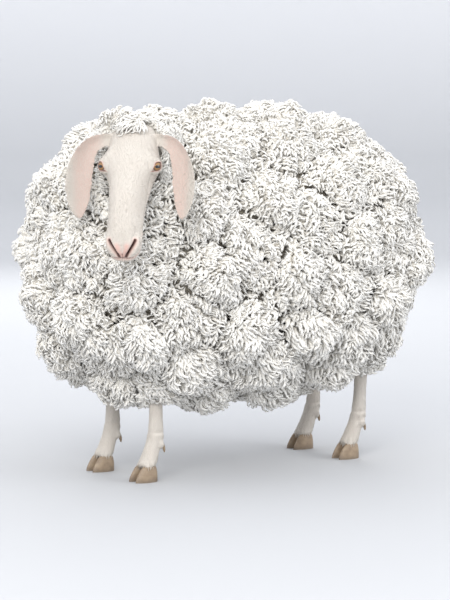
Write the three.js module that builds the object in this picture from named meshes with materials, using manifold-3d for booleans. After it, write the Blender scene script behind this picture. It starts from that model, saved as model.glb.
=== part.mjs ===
// A lop-eared, polled, white sheep in full fleece, life size, in millimetres. It stands square
// on its four feet and turns its head to its left. In the sheep's own group +X is forward, +Y is
// the animal's left and +Z is up; the group is turned so that the sheep faces -X.
// Soft parts reach out to the tips of the coat. Each is a closed solid of its own, with a thin
// gap to its neighbours.

import * as THREE from "three";
import { mergeVertices } from "three/addons/utils/BufferGeometryUtils.js";
import Module from "manifold-3d";

const wasm = await Module();
wasm.setup();

// Driving dimensions.
const gap = 0.5; // clear space between neighbouring parts
const chestForward = 526; // front of the trunk, ahead of the sheep's own origin
const rumpForward = -462;
const backUp = 842;
const bellyUp = 154;
const barrelUp = 505; // the level where the trunk is widest
const barrelHalfWidth = 288;
const clumpSpacing = 130; // between the middles of clumps of fleece
const clumpHeight = 36;
const headPosition = [438, 226, 826]; // the poll, between the ears
const headScale = 1.06; // a heavy-headed breed
const headTurn = THREE.MathUtils.degToRad(48); // to the left
const headPitch = THREE.MathUtils.degToRad(54); // nose down
const eyeRadius = 15;
const eyeMiddle = [89, 50, -22]; // left eye, in the head's frame
const earRoot = [20, 44, -30]; // left ear, in the head's frame
const foreFoot = { forward: 314, left: 92 };
const hindFoot = { forward: -270, left: 92 };
const kneeCutUp = 236;
const hockCutUp = 244;
const fetlockCutUp = 112;
const clawHeight = 40;

// ---------------------------------------------------------------- geometries and solids

const point = (...xyz) => new THREE.Vector3(...xyz);

const middleOf = (points) =>
  points.reduce((sum, p) => sum.add(p), point(0, 0, 0)).divideScalar(points.length);

// A closed geometry through rings of equal point counts. Each end closes on its ring's middle.
function geometryThrough(rings) {
  const sides = rings[0].length;
  const corners = rings.flat();
  const triangles = [];
  for (let r = 0; r + 1 < rings.length; r++) {
    for (let k = 0; k < sides; k++) {
      const a = r * sides + k;
      const b = r * sides + ((k + 1) % sides);
      triangles.push([a, b, b + sides], [a, b + sides, a + sides]);
    }
  }
  for (const r of [0, rings.length - 1]) {
    const middle = corners.length;
    corners.push(middleOf(rings[r]));
    for (let k = 0; k < sides; k++) {
      const edge = [r * sides + k, r * sides + ((k + 1) % sides)];
      triangles.push(r === 0 ? [middle, edge[1], edge[0]] : [middle, edge[0], edge[1]]);
    }
  }
  const volume = triangles.reduce(
    (sum, [a, b, c]) => sum + corners[a].dot(corners[b].clone().cross(corners[c])), 0);
  const facingOut = volume > 0 ? triangles : triangles.map(([a, b, c]) => [a, c, b]);
  return new THREE.BufferGeometry().setFromPoints(corners).setIndex(facingOut.flat());
}

// One ring: place(c, s) is called with a cosine and sine that run once round.
function ring(sides, place) {
  return Array.from({ length: sides }, (_, k) => {
    const turn = (2 * Math.PI * k) / sides;
    return place(Math.cos(turn), Math.sin(turn));
  });
}

// Cosine or sine of a ring, squared off: power 2 keeps an ellipse, more fills its corners.
const squared = (value, power) => Math.sign(value) * Math.abs(value) ** (2 / power);

const curveThrough = (values) => new THREE.CatmullRomCurve3(values.map((v) => point(...v)));

// A tube through stations { at: [forward, left, up], wide, deep }, with rings square to its path.
function tube(stations, ringCount, sides) {
  const path = curveThrough(stations.map((s) => s.at));
  const girth = curveThrough(stations.map((s) => [s.wide, s.deep, 0]));
  const rings = Array.from({ length: ringCount + 1 }, (_, i) => {
    const share = i / ringCount;
    const middle = path.getPoint(share);
    const along = path.getTangent(share);
    const size = girth.getPoint(share);
    const deepAxis = point(0, 1, 0).cross(along).normalize();
    const wideAxis = along.clone().cross(deepAxis);
    return ring(sides, (c, s) => middle.clone()
      .addScaledVector(wideAxis, c * size.x)
      .addScaledVector(deepAxis, s * size.y));
  });
  return geometryThrough(rings);
}

// A built-in geometry with its shared corners merged.
function merged(geometry) {
  geometry.deleteAttribute("normal");
  geometry.deleteAttribute("uv");
  return mergeVertices(geometry);
}

// Moves every point of a geometry in place.
function movePoints(geometry, move) {
  const places = geometry.attributes.position;
  for (let i = 0; i < places.count; i++) {
    places.setXYZ(i, ...move(point().fromBufferAttribute(places, i), i));
  }
  return geometry;
}

// A copy with every point moved outwards, by a distance that may differ from point to point.
function swollen(geometry, distance) {
  const copy = geometry.clone();
  copy.computeVertexNormals();
  const outward = copy.attributes.normal;
  return movePoints(copy, (p, i) =>
    p.clone().addScaledVector(point().fromBufferAttribute(outward, i), distance(p)));
}

// The points of a cloud that lie furthest from each other, down to a spacing.
function spreadOut(cloud, spacing) {
  const chosen = [cloud[0]];
  const clear = cloud.map((p) => p.distanceTo(cloud[0]));
  for (;;) {
    const next = clear.indexOf(Math.max(...clear));
    if (clear[next] < spacing) {
      return chosen;
    }
    chosen.push(cloud[next]);
    cloud.forEach((p, i) => {
      clear[i] = Math.min(clear[i], p.distanceTo(cloud[next]));
    });
  }
}

// Raises a surface into rounded clumps of fleece with creases between them.
function withClumps(geometry, spacing, height) {
  const places = geometry.attributes.position;
  const cloud = Array.from({ length: places.count }, (_, i) => point().fromBufferAttribute(places, i));
  const middles = spreadOut(cloud, spacing);
  return swollen(geometry, (p) => {
    const nearest = Math.min(...middles.map((m) => m.distanceTo(p)));
    return height * Math.max(1 - (nearest / (0.78 * spacing)) ** 2, 0);
  });
}

function solidOf(geometry) {
  return new wasm.Manifold(new wasm.Mesh({
    numProp: 3,
    vertProperties: new Float32Array(geometry.attributes.position.array),
    triVerts: new Uint32Array(geometry.index.array),
  }));
}

// What is cut from a neighbour of a part to keep it clear of that part.
const clearanceOf = (geometry) => solidOf(swollen(geometry, () => gap));

// Cutting can leave a loose sliver beside the piece that is wanted.
const largestBody = (solid) =>
  solid.decompose().reduce((best, body) => (body.volume() > best.volume() ? body : best));

function geometryOf(solid) {
  const { vertProperties, triVerts } = solid.getMesh();
  const geometry = new THREE.BufferGeometry();
  geometry.setAttribute("position", new THREE.BufferAttribute(vertProperties, 3));
  return geometry.setIndex(new THREE.BufferAttribute(triVerts, 1));
}

// ---------------------------------------------------------------- trunk, neck and tail

// A box rounded into a barrel: squarish from the side, rounder from behind.
function trunkGeometry() {
  const sidePower = 2.9;
  const sectionPower = 2.35;
  const evening = 0.65; // spreads the box's cells evenly over the barrel
  const halfLength = (chestForward - rumpForward) / 2;
  const box = merged(new THREE.BoxGeometry(2, 2, 2, 23, 12, 11));
  movePoints(box, (p) => {
    const [x, y, z] = p.toArray().map((share) => Math.tan(evening * share) / Math.tan(evening));
    const section = (Math.abs(y) ** sectionPower + Math.abs(z) ** sectionPower) ** (1 / sectionPower);
    const size = (Math.abs(x) ** sidePower + section ** sidePower) ** (1 / sidePower);
    const reach = z > 0 ? backUp - barrelUp : barrelUp - bellyUp;
    return [
      rumpForward + halfLength * (1 + x / size),
      barrelHalfWidth * (y / size) * (1 - 0.06 * (x / size)),
      barrelUp + reach * (z / size),
    ];
  });
  return withClumps(box, clumpSpacing, clumpHeight);
}

const neckGeometry = () => withClumps(tube([
  { at: [290, 0, 600], wide: 178, deep: 190 },
  { at: [335, 50, 672], wide: 160, deep: 165 },
  { at: [362, 105, 728], wide: 130, deep: 140 },
  { at: [382, 150, 762], wide: 104, deep: 114 },
  { at: [402, 192, 776], wide: 82, deep: 88 },
  { at: [418, 208, 780], wide: 44, deep: 50 },
], 7, 14), 92, 18);

const tailGeometry = () => withClumps(tube([
  { at: [-350, 0, 700], wide: 34, deep: 28 },
  { at: [-432, 2, 716], wide: 44, deep: 36 },
  { at: [-488, 6, 640], wide: 44, deep: 36 },
  { at: [-502, 9, 540], wide: 40, deep: 33 },
  { at: [-498, 10, 462], wide: 27, deep: 25 },
  { at: [-494, 9, 436], wide: 8, deep: 8 },
], 7, 10), 56, 9);

// ---------------------------------------------------------------- head

// Sections from the back of the skull to the muzzle, in the head's own frame: +X to the muzzle,
// +Y left, +Z up from the brow. wide is the half width, at the level widest.
const headSections = [
  { along: -24, top: -34, widest: -52, bottom: -70, wide: 26 },
  { along: -14, top: -14, widest: -46, bottom: -90, wide: 42 },
  { along: 8, top: 0, widest: -42, bottom: -108, wide: 49 },
  { along: 36, top: 6, widest: -40, bottom: -121, wide: 54 },
  { along: 64, top: 9, widest: -36, bottom: -124, wide: 57 },
  { along: 92, top: 13, widest: -34, bottom: -117, wide: 53 },
  { along: 120, top: 17, widest: -36, bottom: -105, wide: 46 },
  { along: 152, top: 18, widest: -38, bottom: -94, wide: 41 },
  { along: 186, top: 14, widest: -40, bottom: -87, wide: 38 },
  { along: 218, top: 6, widest: -42, bottom: -83, wide: 37 },
  { along: 246, top: -4, widest: -44, bottom: -82, wide: 38 },
  { along: 268, top: -15, widest: -47, bottom: -81, wide: 36 },
  { along: 284, top: -28, widest: -51, bottom: -77, wide: 29 },
  { along: 291, top: -40, widest: -55, bottom: -70, wide: 17 },
];

// Forms that rise (lift > 0) or sink on both sides of the head, each within its reach.
const headForms = [
  { at: [84, 58, -20], reach: 32, lift: 10 }, // orbit
  { at: [72, 50, 6], reach: 30, lift: 6 }, // brow above the eye
  { at: [126, 46, -26], reach: 34, lift: -6 }, // hollow in front of the eye
  { at: [42, 54, -20], reach: 28, lift: -4 }, // temple
  { at: [60, 50, -82], reach: 50, lift: 7 }, // cheek
  { at: [128, 42, -64], reach: 34, lift: 4 }, // cheekbone
  { at: [268, 28, -36], reach: 20, lift: 3 }, // nostril wing
  { at: [244, 30, -72], reach: 22, lift: 2 }, // lip corner
];

// Outwards from the head's long axis, which runs at the level of the eyes.
function withHeadForms(p) {
  const mirrored = point(p.x, Math.abs(p.y), p.z);
  const lift = headForms.reduce((sum, form) => {
    const near = mirrored.distanceTo(point(...form.at)) / form.reach;
    return sum + form.lift * Math.max(1 - near * near, 0) ** 2;
  }, 0);
  return p.clone().addScaledVector(point(0, p.y, p.z + 42).normalize(), lift);
}

function headGeometry() {
  const upper = curveThrough(headSections.map((s) => [s.along, s.top, s.widest]));
  const lower = curveThrough(headSections.map((s) => [s.along, s.bottom, s.wide]));
  const ringCount = 21;
  const rings = Array.from({ length: ringCount + 1 }, (_, i) => {
    const { x: along, y: top, z: widest } = upper.getPoint(i / ringCount);
    const { y: bottom, z: wide } = lower.getPoint(i / ringCount);
    return ring(24, (c, s) => {
      const power = s > 0 ? 2.25 : 1.85;
      const reach = s > 0 ? top - widest : widest - bottom;
      return point(along, wide * squared(c, power), widest + reach * squared(s, power));
    });
  });
  return movePoints(geometryThrough(rings), withHeadForms);
}

const eyeGeometry = (side) => merged(new THREE.SphereGeometry(eyeRadius, 10, 7))
  .translate(eyeMiddle[0], side * eyeMiddle[1], eyeMiddle[2]);

// A lop ear: a thin, cupped leaf that leaves the head sideways and hangs. Its own frame is level,
// with +X ahead of the face, +Y left and +Z up.
const earSections = [
  { at: [0, -10, 2], wide: 13, cup: 5, thick: 9 },
  { at: [2, 12, 2], wide: 15, cup: 9, thick: 8 },
  { at: [9, 41, -7], wide: 22, cup: 14, thick: 6.5 },
  { at: [20, 60, -38], wide: 31, cup: 14, thick: 6 },
  { at: [30, 68, -82], wide: 36, cup: 11, thick: 6 },
  { at: [36, 68, -122], wide: 31, cup: 9, thick: 5.5 },
  { at: [39, 64, -152], wide: 17, cup: 6, thick: 5 },
  { at: [40, 62, -162], wide: 6, cup: 3, thick: 4 },
];
const earFacing = THREE.MathUtils.degToRad(32); // the cup opens ahead and this far inwards

function earGeometry(side) {
  const path = curveThrough(earSections.map((s) => s.at));
  const girth = curveThrough(earSections.map((s) => [s.wide, s.cup, s.thick]));
  const ringCount = 11;
  const rings = Array.from({ length: ringCount + 1 }, (_, i) => {
    const middle = path.getPoint(i / ringCount);
    const along = path.getTangent(i / ringCount);
    const { x: wide, y: cup, z: thick } = girth.getPoint(i / ringCount);
    const open = point(Math.cos(earFacing), -Math.sin(earFacing), 0);
    open.addScaledVector(along, -open.dot(along)).normalize();
    const across = along.clone().cross(open);
    return ring(10, (c, s) => {
      const lift = cup * (c * c - 0.5) + (thick / 2) * squared(s, 2.6);
      const p = middle.clone().addScaledVector(across, wide * c).addScaledVector(open, lift);
      return point(p.x, side * p.y, p.z);
    });
  });
  return geometryThrough(rings);
}

// The wool on the poll: a low dome between the ears.
const topknotGeometry = () => merged(new THREE.SphereGeometry(1, 11, 7))
  .scale(58, 49, 34)
  .translate(4, 0, -14);

// ---------------------------------------------------------------- legs and feet

// Each leg runs from inside the fleece into its claws, in its foot's own frame, whose origin is on
// the floor. ahead is measured from there.
const foreLegSections = [
  { up: 330, ahead: -34, wide: 28, deep: 33 },
  { up: 300, ahead: -30, wide: 25, deep: 29 },
  { up: 268, ahead: -25, wide: 24.5, deep: 28 },
  { up: 245, ahead: -25, wide: 21, deep: 23 },
  { up: 215, ahead: -26, wide: 16.5, deep: 19 },
  { up: 160, ahead: -25, wide: 14.5, deep: 18 },
  { up: 122, ahead: -25, wide: 16.5, deep: 20 },
  { up: 98, ahead: -24, wide: 20.5, deep: 23 },
  { up: 72, ahead: -13, wide: 19, deep: 18.5 },
  { up: 50, ahead: -2, wide: 23, deep: 19.5 },
  { up: 28, ahead: 8, wide: 28, deep: 22 },
];
const hindLegSections = [
  { up: 350, ahead: -16, wide: 30, deep: 44 },
  { up: 322, ahead: -27, wide: 25, deep: 38 },
  { up: 292, ahead: -38, wide: 21, deep: 32 },
  { up: 262, ahead: -42, wide: 21, deep: 27.5 },
  { up: 228, ahead: -37, wide: 17, deep: 20.5 },
  { up: 165, ahead: -34, wide: 14, deep: 17.5 },
  { up: 122, ahead: -31, wide: 16, deep: 20 },
  { up: 98, ahead: -28, wide: 20, deep: 23 },
  { up: 72, ahead: -15, wide: 18.5, deep: 18.5 },
  { up: 50, ahead: -2, wide: 22.5, deep: 19.5 },
  { up: 28, ahead: 8, wide: 27.5, deep: 22 },
];

const legGeometry = (sections) =>
  tube(sections.map(({ up, ahead, wide, deep }) => ({ at: [ahead, 0, up], wide, deep })), 13, 10);

// A claw stands flat on the floor. Its toe leans forward, its outer wall bulges, and its inner
// wall is nearly flat beside its twin.
function clawGeometry(side) {
  const chamferUp = 3;
  const rings = [0, chamferUp, clawHeight].map((up) => ring(10, (c, s) => {
    const share = up / clawHeight;
    const toe = 46 - 24 * share - (up === 0 ? 2 : 0);
    const heel = -22 + 3 * share + (up === 0 ? 1.5 : 0);
    const halfWide = (12.6 - 1.4 * share) * (1 - 0.42 * Math.max(c, 0) ** 2.2);
    const bulge = s * side > 0 ? 1.16 : 0.8;
    const ahead = (toe + heel) / 2 + ((toe - heel) / 2) * squared(c, 2.3);
    return point(ahead, side * 13 + halfWide * bulge * squared(s, 2.3), up);
  }));
  return geometryThrough(rings);
}

const dewclawGeometry = (side) => tube([
  { at: [-34, side * 12, 87], wide: 5, deep: 4 },
  { at: [-43, side * 12.5, 84], wide: 7, deep: 6.5 },
  { at: [-48, side * 13, 74], wide: 6, deep: 5.5 },
  { at: [-49, side * 13, 64], wide: 2.5, deep: 2.5 },
], 3, 6);

function slab(low, high) {
  const half = (high - low) / 2;
  return solidOf(merged(new THREE.BoxGeometry(300, 300, 2 * half)).translate(0, 0, low + half));
}

// ---------------------------------------------------------------- colours

const coat = (color, roughness) => new THREE.MeshStandardMaterial({ color, roughness, metalness: 0 });
const woolWhite = coat(0xece7da, 0.95);
const hairWhite = coat(0xe9e2d6, 0.85);
const hornCream = coat(0xb9a88a, 0.5);
const eyeAmber = coat(0xa8732c, 0.1);

// ---------------------------------------------------------------- the whole animal

const sheep = new THREE.Group();

function addGroup(parent, x, y, z) {
  const group = new THREE.Group();
  group.position.set(x, y, z);
  parent.add(group);
  return group;
}

const headGroup = addGroup(sheep, ...headPosition);
headGroup.rotation.set(0, headPitch, headTurn, "ZYX");
headGroup.scale.setScalar(headScale);

// A solid given in a group's frame, moved to the sheep's frame.
function inSheep(solid, group) {
  group.updateWorldMatrix(true, false);
  return solid.transform(Array.from(group.matrixWorld.elements));
}

// Adds a solid that is given in the sheep's frame as a mesh of a group.
function addPart(group, name, solid, material) {
  group.updateWorldMatrix(true, false);
  const geometry = geometryOf(solid).applyMatrix4(group.matrixWorld.clone().invert());
  const mesh = new THREE.Mesh(geometry, material);
  mesh.name = name;
  group.add(mesh);
}

// Adds one leg and returns what the fleece has to leave clear for it.
function addLeg(name, foot, side, sections, upperName, upperCut) {
  const group = addGroup(sheep, foot.forward, side * foot.left, 0);
  const leg = solidOf(legGeometry(sections));
  const clearance = clearanceOf(legGeometry(sections));
  const spans = {
    [upperName]: [upperCut, 500],
    cannon: [fetlockCutUp, upperCut],
    pastern: [clawHeight + gap / 2, fetlockCutUp],
  };
  for (const [span, [low, high]] of Object.entries(spans)) {
    const piece = leg.intersect(slab(low + gap / 2, high - gap / 2));
    addPart(group, `${name}_${span}`, inSheep(piece, group), hairWhite);
  }
  for (const [place, toward] of [["outer", side], ["inner", -side]]) {
    const claw = solidOf(clawGeometry(toward));
    const dewclaw = solidOf(dewclawGeometry(toward)).subtract(clearance);
    addPart(group, `${name}_claw_${place}`, inSheep(claw, group), hornCream);
    addPart(group, `${name}_dewclaw_${place}`, inSheep(dewclaw, group), hornCream);
  }
  return inSheep(clearance, group);
}

const headClearance = inSheep(clearanceOf(headGeometry()), headGroup);
const trunkClearance = clearanceOf(trunkGeometry());
const neckClearance = clearanceOf(neckGeometry());
let head = solidOf(headGeometry());
let trunk = solidOf(trunkGeometry()).subtract(headClearance);
let neck = solidOf(neckGeometry()).subtract(trunkClearance).subtract(headClearance);
let topknot = inSheep(solidOf(topknotGeometry()), headGroup)
  .subtract(headClearance)
  .subtract(neckClearance);

for (const [hand, side] of [["left", 1], ["right", -1]]) {
  const foreLeg = addLeg(`fore_${hand}`, foreFoot, side, foreLegSections, "forearm", kneeCutUp);
  const hindLeg = addLeg(`hind_${hand}`, hindFoot, side, hindLegSections, "gaskin", hockCutUp);
  trunk = trunk.subtract(foreLeg).subtract(hindLeg);

  const earGroup = addGroup(headGroup, earRoot[0], side * earRoot[1], earRoot[2]);
  earGroup.rotation.y = -headPitch;
  const ear = inSheep(solidOf(earGeometry(side)), earGroup).subtract(headClearance);
  const earClearance = inSheep(clearanceOf(earGeometry(side)), earGroup);
  neck = neck.subtract(earClearance);
  topknot = topknot.subtract(earClearance);
  addPart(earGroup, `ear_${hand}`, ear, hairWhite);

  addPart(headGroup, `eye_${hand}`, inSheep(solidOf(eyeGeometry(side)), headGroup), eyeAmber);
  head = head.subtract(clearanceOf(eyeGeometry(side)));
}

addPart(headGroup, "head", inSheep(head, headGroup), hairWhite);
addPart(headGroup, "topknot", largestBody(topknot), woolWhite);
addPart(sheep, "neck", largestBody(neck), woolWhite);
addPart(sheep, "trunk", trunk, woolWhite);
addPart(sheep, "tail", solidOf(tailGeometry()).subtract(trunkClearance), woolWhite);

// The animal faces -X, with the origin on the floor below the middle of its bounding box.
sheep.rotation.z = Math.PI;
const model = new THREE.Group();
model.add(sheep);
const box = new THREE.Box3().setFromObject(model, true);
sheep.position.set(-(box.min.x + box.max.x) / 2, -(box.min.y + box.max.y) / 2, 0);

export default model;
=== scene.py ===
import math
import time

import bpy
import numpy as np
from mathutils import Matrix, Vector
from mathutils.bvhtree import BVHTree
from mathutils.kdtree import KDTree


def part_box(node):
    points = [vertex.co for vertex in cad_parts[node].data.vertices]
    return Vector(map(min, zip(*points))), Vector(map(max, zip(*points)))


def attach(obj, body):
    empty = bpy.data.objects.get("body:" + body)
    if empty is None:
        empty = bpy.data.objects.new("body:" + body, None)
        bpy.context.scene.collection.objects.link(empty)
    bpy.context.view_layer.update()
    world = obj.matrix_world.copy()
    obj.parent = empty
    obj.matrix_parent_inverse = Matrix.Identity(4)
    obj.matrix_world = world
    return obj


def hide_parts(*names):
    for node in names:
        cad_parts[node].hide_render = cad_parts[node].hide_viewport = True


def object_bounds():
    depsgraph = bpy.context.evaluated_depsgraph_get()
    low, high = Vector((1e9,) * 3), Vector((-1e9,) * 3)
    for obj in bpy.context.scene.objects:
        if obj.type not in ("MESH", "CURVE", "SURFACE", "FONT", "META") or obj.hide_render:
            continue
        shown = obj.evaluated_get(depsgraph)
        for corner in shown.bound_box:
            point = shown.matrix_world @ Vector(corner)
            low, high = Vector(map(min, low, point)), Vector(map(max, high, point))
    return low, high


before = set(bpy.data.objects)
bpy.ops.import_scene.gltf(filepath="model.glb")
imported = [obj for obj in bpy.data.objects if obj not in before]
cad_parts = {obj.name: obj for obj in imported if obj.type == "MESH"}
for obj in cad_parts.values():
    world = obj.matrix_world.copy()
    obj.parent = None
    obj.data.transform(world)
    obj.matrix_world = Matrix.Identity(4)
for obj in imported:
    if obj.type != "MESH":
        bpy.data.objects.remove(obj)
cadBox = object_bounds()
began = time.time()


def report(words):
    print(f"{words} ({time.time() - began:.0f} s)")


# the animal: where things are, taken from the frame's own boxes or shared with the solids
legNames = ["fore_left", "fore_right", "hind_left", "hind_right"]
upperNames = ["fore_left_forearm", "fore_right_forearm", "hind_left_gaskin", "hind_right_gaskin"]
lowerNames = [f"{leg}_{part}" for leg in legNames for part in ("cannon", "pastern")]
clawNames = [f"{leg}_claw_{side}" for leg in legNames for side in ("outer", "inner")]
dewclawNames = [f"{leg}_dewclaw_{side}" for leg in legNames for side in ("outer", "inner")]
earSides = {"ear_left": 1, "ear_right": -1}  # 1 is the animal's left

headSet = {
    "turn": 48.0,      # degrees, to the animal's left
    "pitch": 54.0,     # degrees, nose down
    "unit": 0.00106,   # metres for each millimetre of the head's own plan
    "eyeDown": 89.0,   # where the eyes lie in that plan, down the face from its start
    "eyeOut": -22.0,   # and out of the brow
}


def headAxes():
    turn = math.radians(headSet["turn"])
    pitch = math.radians(headSet["pitch"])
    down = Vector((
        -math.cos(pitch) * math.cos(turn), -math.cos(pitch) * math.sin(turn), -math.sin(pitch)
    ))
    left = Vector((math.sin(turn), -math.cos(turn), 0.0))
    return np.array([down, left, down.cross(left)])


headAxis = headAxes()  # rows: down the face, to its left, out of the brow
eyeCorners = [np.array(corner) for side in ("left", "right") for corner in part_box(f"eye_{side}")]
headMiddle = np.mean(eyeCorners, axis=0) - headSet["unit"] * (
    headSet["eyeDown"] * headAxis[0] + headSet["eyeOut"] * headAxis[2]
)
faceAhead = np.array([headAxis[0][0], headAxis[0][1], 0.0])
faceAhead /= np.linalg.norm(faceAhead)


def toHead(points):
    return (points - headMiddle) @ headAxis.T / headSet["unit"]


def fromHead(points):
    return np.asarray(points, float) * headSet["unit"] @ headAxis + headMiddle


def unit(vectors):
    return vectors / np.maximum(np.linalg.norm(vectors, axis=-1, keepdims=True), 1e-12)


def smoothStep(low, high, value):
    share = np.clip((value - low) / (high - low), 0.0, 1.0)
    return share * share * (3.0 - 2.0 * share)


# small tools for working on pieces
def deselectAll():
    if bpy.context.mode != "OBJECT":
        bpy.ops.object.mode_set(mode="OBJECT")
    bpy.ops.object.select_all(action="DESELECT")


def pick(*pieces):
    deselectAll()
    for piece in pieces:
        piece.select_set(True)
    bpy.context.view_layer.objects.active = pieces[0]


def shape(piece, kind, **settings):
    pick(piece)
    modifier = piece.modifiers.new(kind.title(), kind)
    for name, value in settings.items():
        setattr(modifier, name, value)
    bpy.ops.object.modifier_apply(modifier=modifier.name)


def remeshed(piece, cell, factor, iterations):
    shape(piece, "REMESH", mode="VOXEL", voxel_size=cell)
    shape(piece, "SMOOTH", factor=factor, iterations=iterations)


def joined(pieces):
    pick(*pieces)
    if len(pieces) > 1:
        bpy.ops.object.join()
    return pieces[0]


def added(primitive, **settings):
    deselectAll()
    primitive(**settings)
    bpy.ops.object.transform_apply(location=True, rotation=True, scale=True)
    return bpy.context.object


def edited(piece, operator, **settings):
    # an edit-mode operator on the whole piece
    pick(piece)
    bpy.ops.object.mode_set(mode="EDIT")
    bpy.ops.mesh.select_all(action="SELECT")
    operator(**settings)
    bpy.ops.object.mode_set(mode="OBJECT")


def copyOf(names, newName):
    # the nodes' loose triangles become one welded mesh
    copies = []
    for name in names:
        copy = bpy.data.objects.new(newName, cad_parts[name].data.copy())
        copy.data.materials.clear()
        bpy.context.scene.collection.objects.link(copy)
        copies.append(copy)
    piece = joined(copies)
    edited(piece, bpy.ops.mesh.remove_doubles, threshold=0.00003)
    return piece


def rounded(piece, levels):
    # four-sided faces again, then a subdivision surface
    bend = math.radians(60)
    edited(piece, bpy.ops.mesh.tris_convert_to_quads, face_threshold=bend, shape_threshold=bend)
    shape(piece, "SUBSURF", levels=levels, render_levels=levels)
    return piece


def pointsOf(piece):
    places = np.empty(len(piece.data.vertices) * 3)
    piece.data.vertices.foreach_get("co", places)
    return places.reshape(-1, 3)


def normalsOf(piece):
    ways = np.empty(len(piece.data.vertices) * 3, dtype=np.float32)
    piece.data.vertex_normals.foreach_get("vector", ways)
    return ways.reshape(-1, 3).astype(float)


def setPoints(piece, places):
    piece.data.vertices.foreach_set("co", np.ascontiguousarray(places).reshape(-1))
    piece.data.update()


def trianglesOf(piece):
    piece.data.calc_loop_triangles()
    corners = np.empty(len(piece.data.loop_triangles) * 3, dtype=np.int32)
    piece.data.loop_triangles.foreach_get("vertices", corners)
    return corners.reshape(-1, 3)


def treeOf(piece):
    return BVHTree.FromPolygons(
        [tuple(point) for point in pointsOf(piece)],
        [tuple(corners) for corners in trianglesOf(piece)],
    )


def nearest(tree, places):
    # the nearest point, its normal, and how far outside (or, below nothing, inside) each place is
    found = np.empty((len(places), 3))
    ways = np.empty((len(places), 3))
    for index, place in enumerate(places):
        found[index], ways[index], _, _ = tree.find_nearest(place)
    outside = np.einsum("ij,ij->i", places - found, ways)
    away = np.linalg.norm(places - found, axis=1)
    return found, ways, np.where(outside < 0, -away, away)


def awayFrom(node, places):
    # the same distance from one solid of the frame
    return nearest(treeOf(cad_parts[node]), places)[2]


def inBoxOf(node, places, room):
    low, high = (np.array(corner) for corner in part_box(node))
    return np.all((places > low - room) & (places < high + room), axis=1)


def finderOf(places, chosen=None):
    # tells which of the places, or of the chosen ones, is nearest
    chosen = range(len(places)) if chosen is None else chosen
    finder = KDTree(len(chosen))
    for index in chosen:
        finder.insert(places[index], index)
    finder.balance()
    return finder


def flattened(vectors, ways):
    # what is left of the vectors along a surface with these normals
    return vectors - np.einsum("ij,ij->i", vectors, ways)[:, None] * ways


def subdivideWhere(piece, keep):
    # keep is a test on the places of vertices
    chosen = keep(pointsOf(piece))
    pick(piece)
    bpy.ops.object.mode_set(mode="EDIT")
    bpy.ops.mesh.select_all(action="DESELECT")
    bpy.ops.mesh.select_mode(type="VERT")
    bpy.ops.object.mode_set(mode="OBJECT")
    piece.data.vertices.foreach_set("select", chosen)
    bpy.ops.object.mode_set(mode="EDIT")
    bpy.ops.mesh.select_mode(type="FACE")
    bpy.ops.mesh.subdivide(number_cuts=1, quadcorner="INNERVERT")
    bpy.ops.object.mode_set(mode="OBJECT")


def toPath(places, path):
    # how far each place is from a line through the path's points, and how far along it lies
    path = np.asarray(path, float)
    best = np.full(len(places), 1e9)
    along = np.zeros(len(places))
    legs = len(path) - 1
    for index in range(legs):
        start, step = path[index], path[index + 1] - path[index]
        share = np.clip((places - start) @ step / (step @ step), 0.0, 1.0)
        away = np.linalg.norm(places - start - share[:, None] * step, axis=1)
        closer = away < best
        best[closer] = away[closer]
        along[closer] = (index + share[closer]) / legs
    return best, along


# nodes: each input is a socket or a plain value
def addNode(tree, kind, inputs=None, **settings):
    node = tree.nodes.new("ShaderNode" + kind)
    for label, value in settings.items():
        setattr(node, label, value)
    for label, value in (inputs or {}).items():
        if isinstance(value, bpy.types.NodeSocket):
            tree.links.new(value, node.inputs[label])
        else:
            node.inputs[label].default_value = value
    return node


def addMath(tree, operation, first, second=0.5):
    return addNode(tree, "Math", {0: first, 1: second}, operation=operation).outputs["Value"]


def addRange(tree, value, fromMin, fromMax, toMin=0.0, toMax=1.0):
    limits = {"From Min": fromMin, "From Max": fromMax, "To Min": toMin, "To Max": toMax}
    return addNode(tree, "MapRange", {"Value": value, **limits}).outputs["Result"]


def addMix(tree, factor, first, second):
    values = {"Factor": factor, "A": first, "B": second}
    return addNode(tree, "Mix", values, data_type="RGBA").outputs["Result"]


def addNoise(tree, vector, scale, detail):
    return addNode(tree, "TexNoise", {"Vector": vector, "Scale": scale, "Detail": detail}).outputs["Fac"]


def addParts(tree, vector):
    return addNode(tree, "SeparateXYZ", {"Vector": vector}).outputs


def objectPlace(tree):
    return addNode(tree, "TexCoord").outputs["Object"]


# shader groups that more than one material uses
def newGroup(name, inputs, outputs):
    group = bpy.data.node_groups.new(name, "ShaderNodeTree")
    for label, value in inputs.items():
        kind = "NodeSocketColor" if isinstance(value, tuple) else "NodeSocketFloat"
        group.interface.new_socket(name=label, in_out="INPUT", socket_type=kind).default_value = value
    for label, kind in outputs.items():
        group.interface.new_socket(name=label, in_out="OUTPUT", socket_type=kind)
    return group, group.nodes.new("NodeGroupInput").outputs, group.nodes.new("NodeGroupOutput").inputs


def makeBlotches():
    # soft patches of a second colour, laid out over the piece
    group, given, result = newGroup(
        "softBlotches",
        {"Colour": (1, 1, 1, 1), "Second": (0.5, 0.5, 0.5, 1), "Scale": 10.0, "Amount": 0.5},
        {"Colour": "NodeSocketColor"},
    )
    noise = addNoise(group, objectPlace(group), given["Scale"], 4.0)
    share = addMath(group, "MULTIPLY", addRange(group, noise, 0.35, 0.7), given["Amount"])
    group.links.new(addMix(group, share, given["Colour"], given["Second"]), result["Colour"])
    return group


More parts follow.
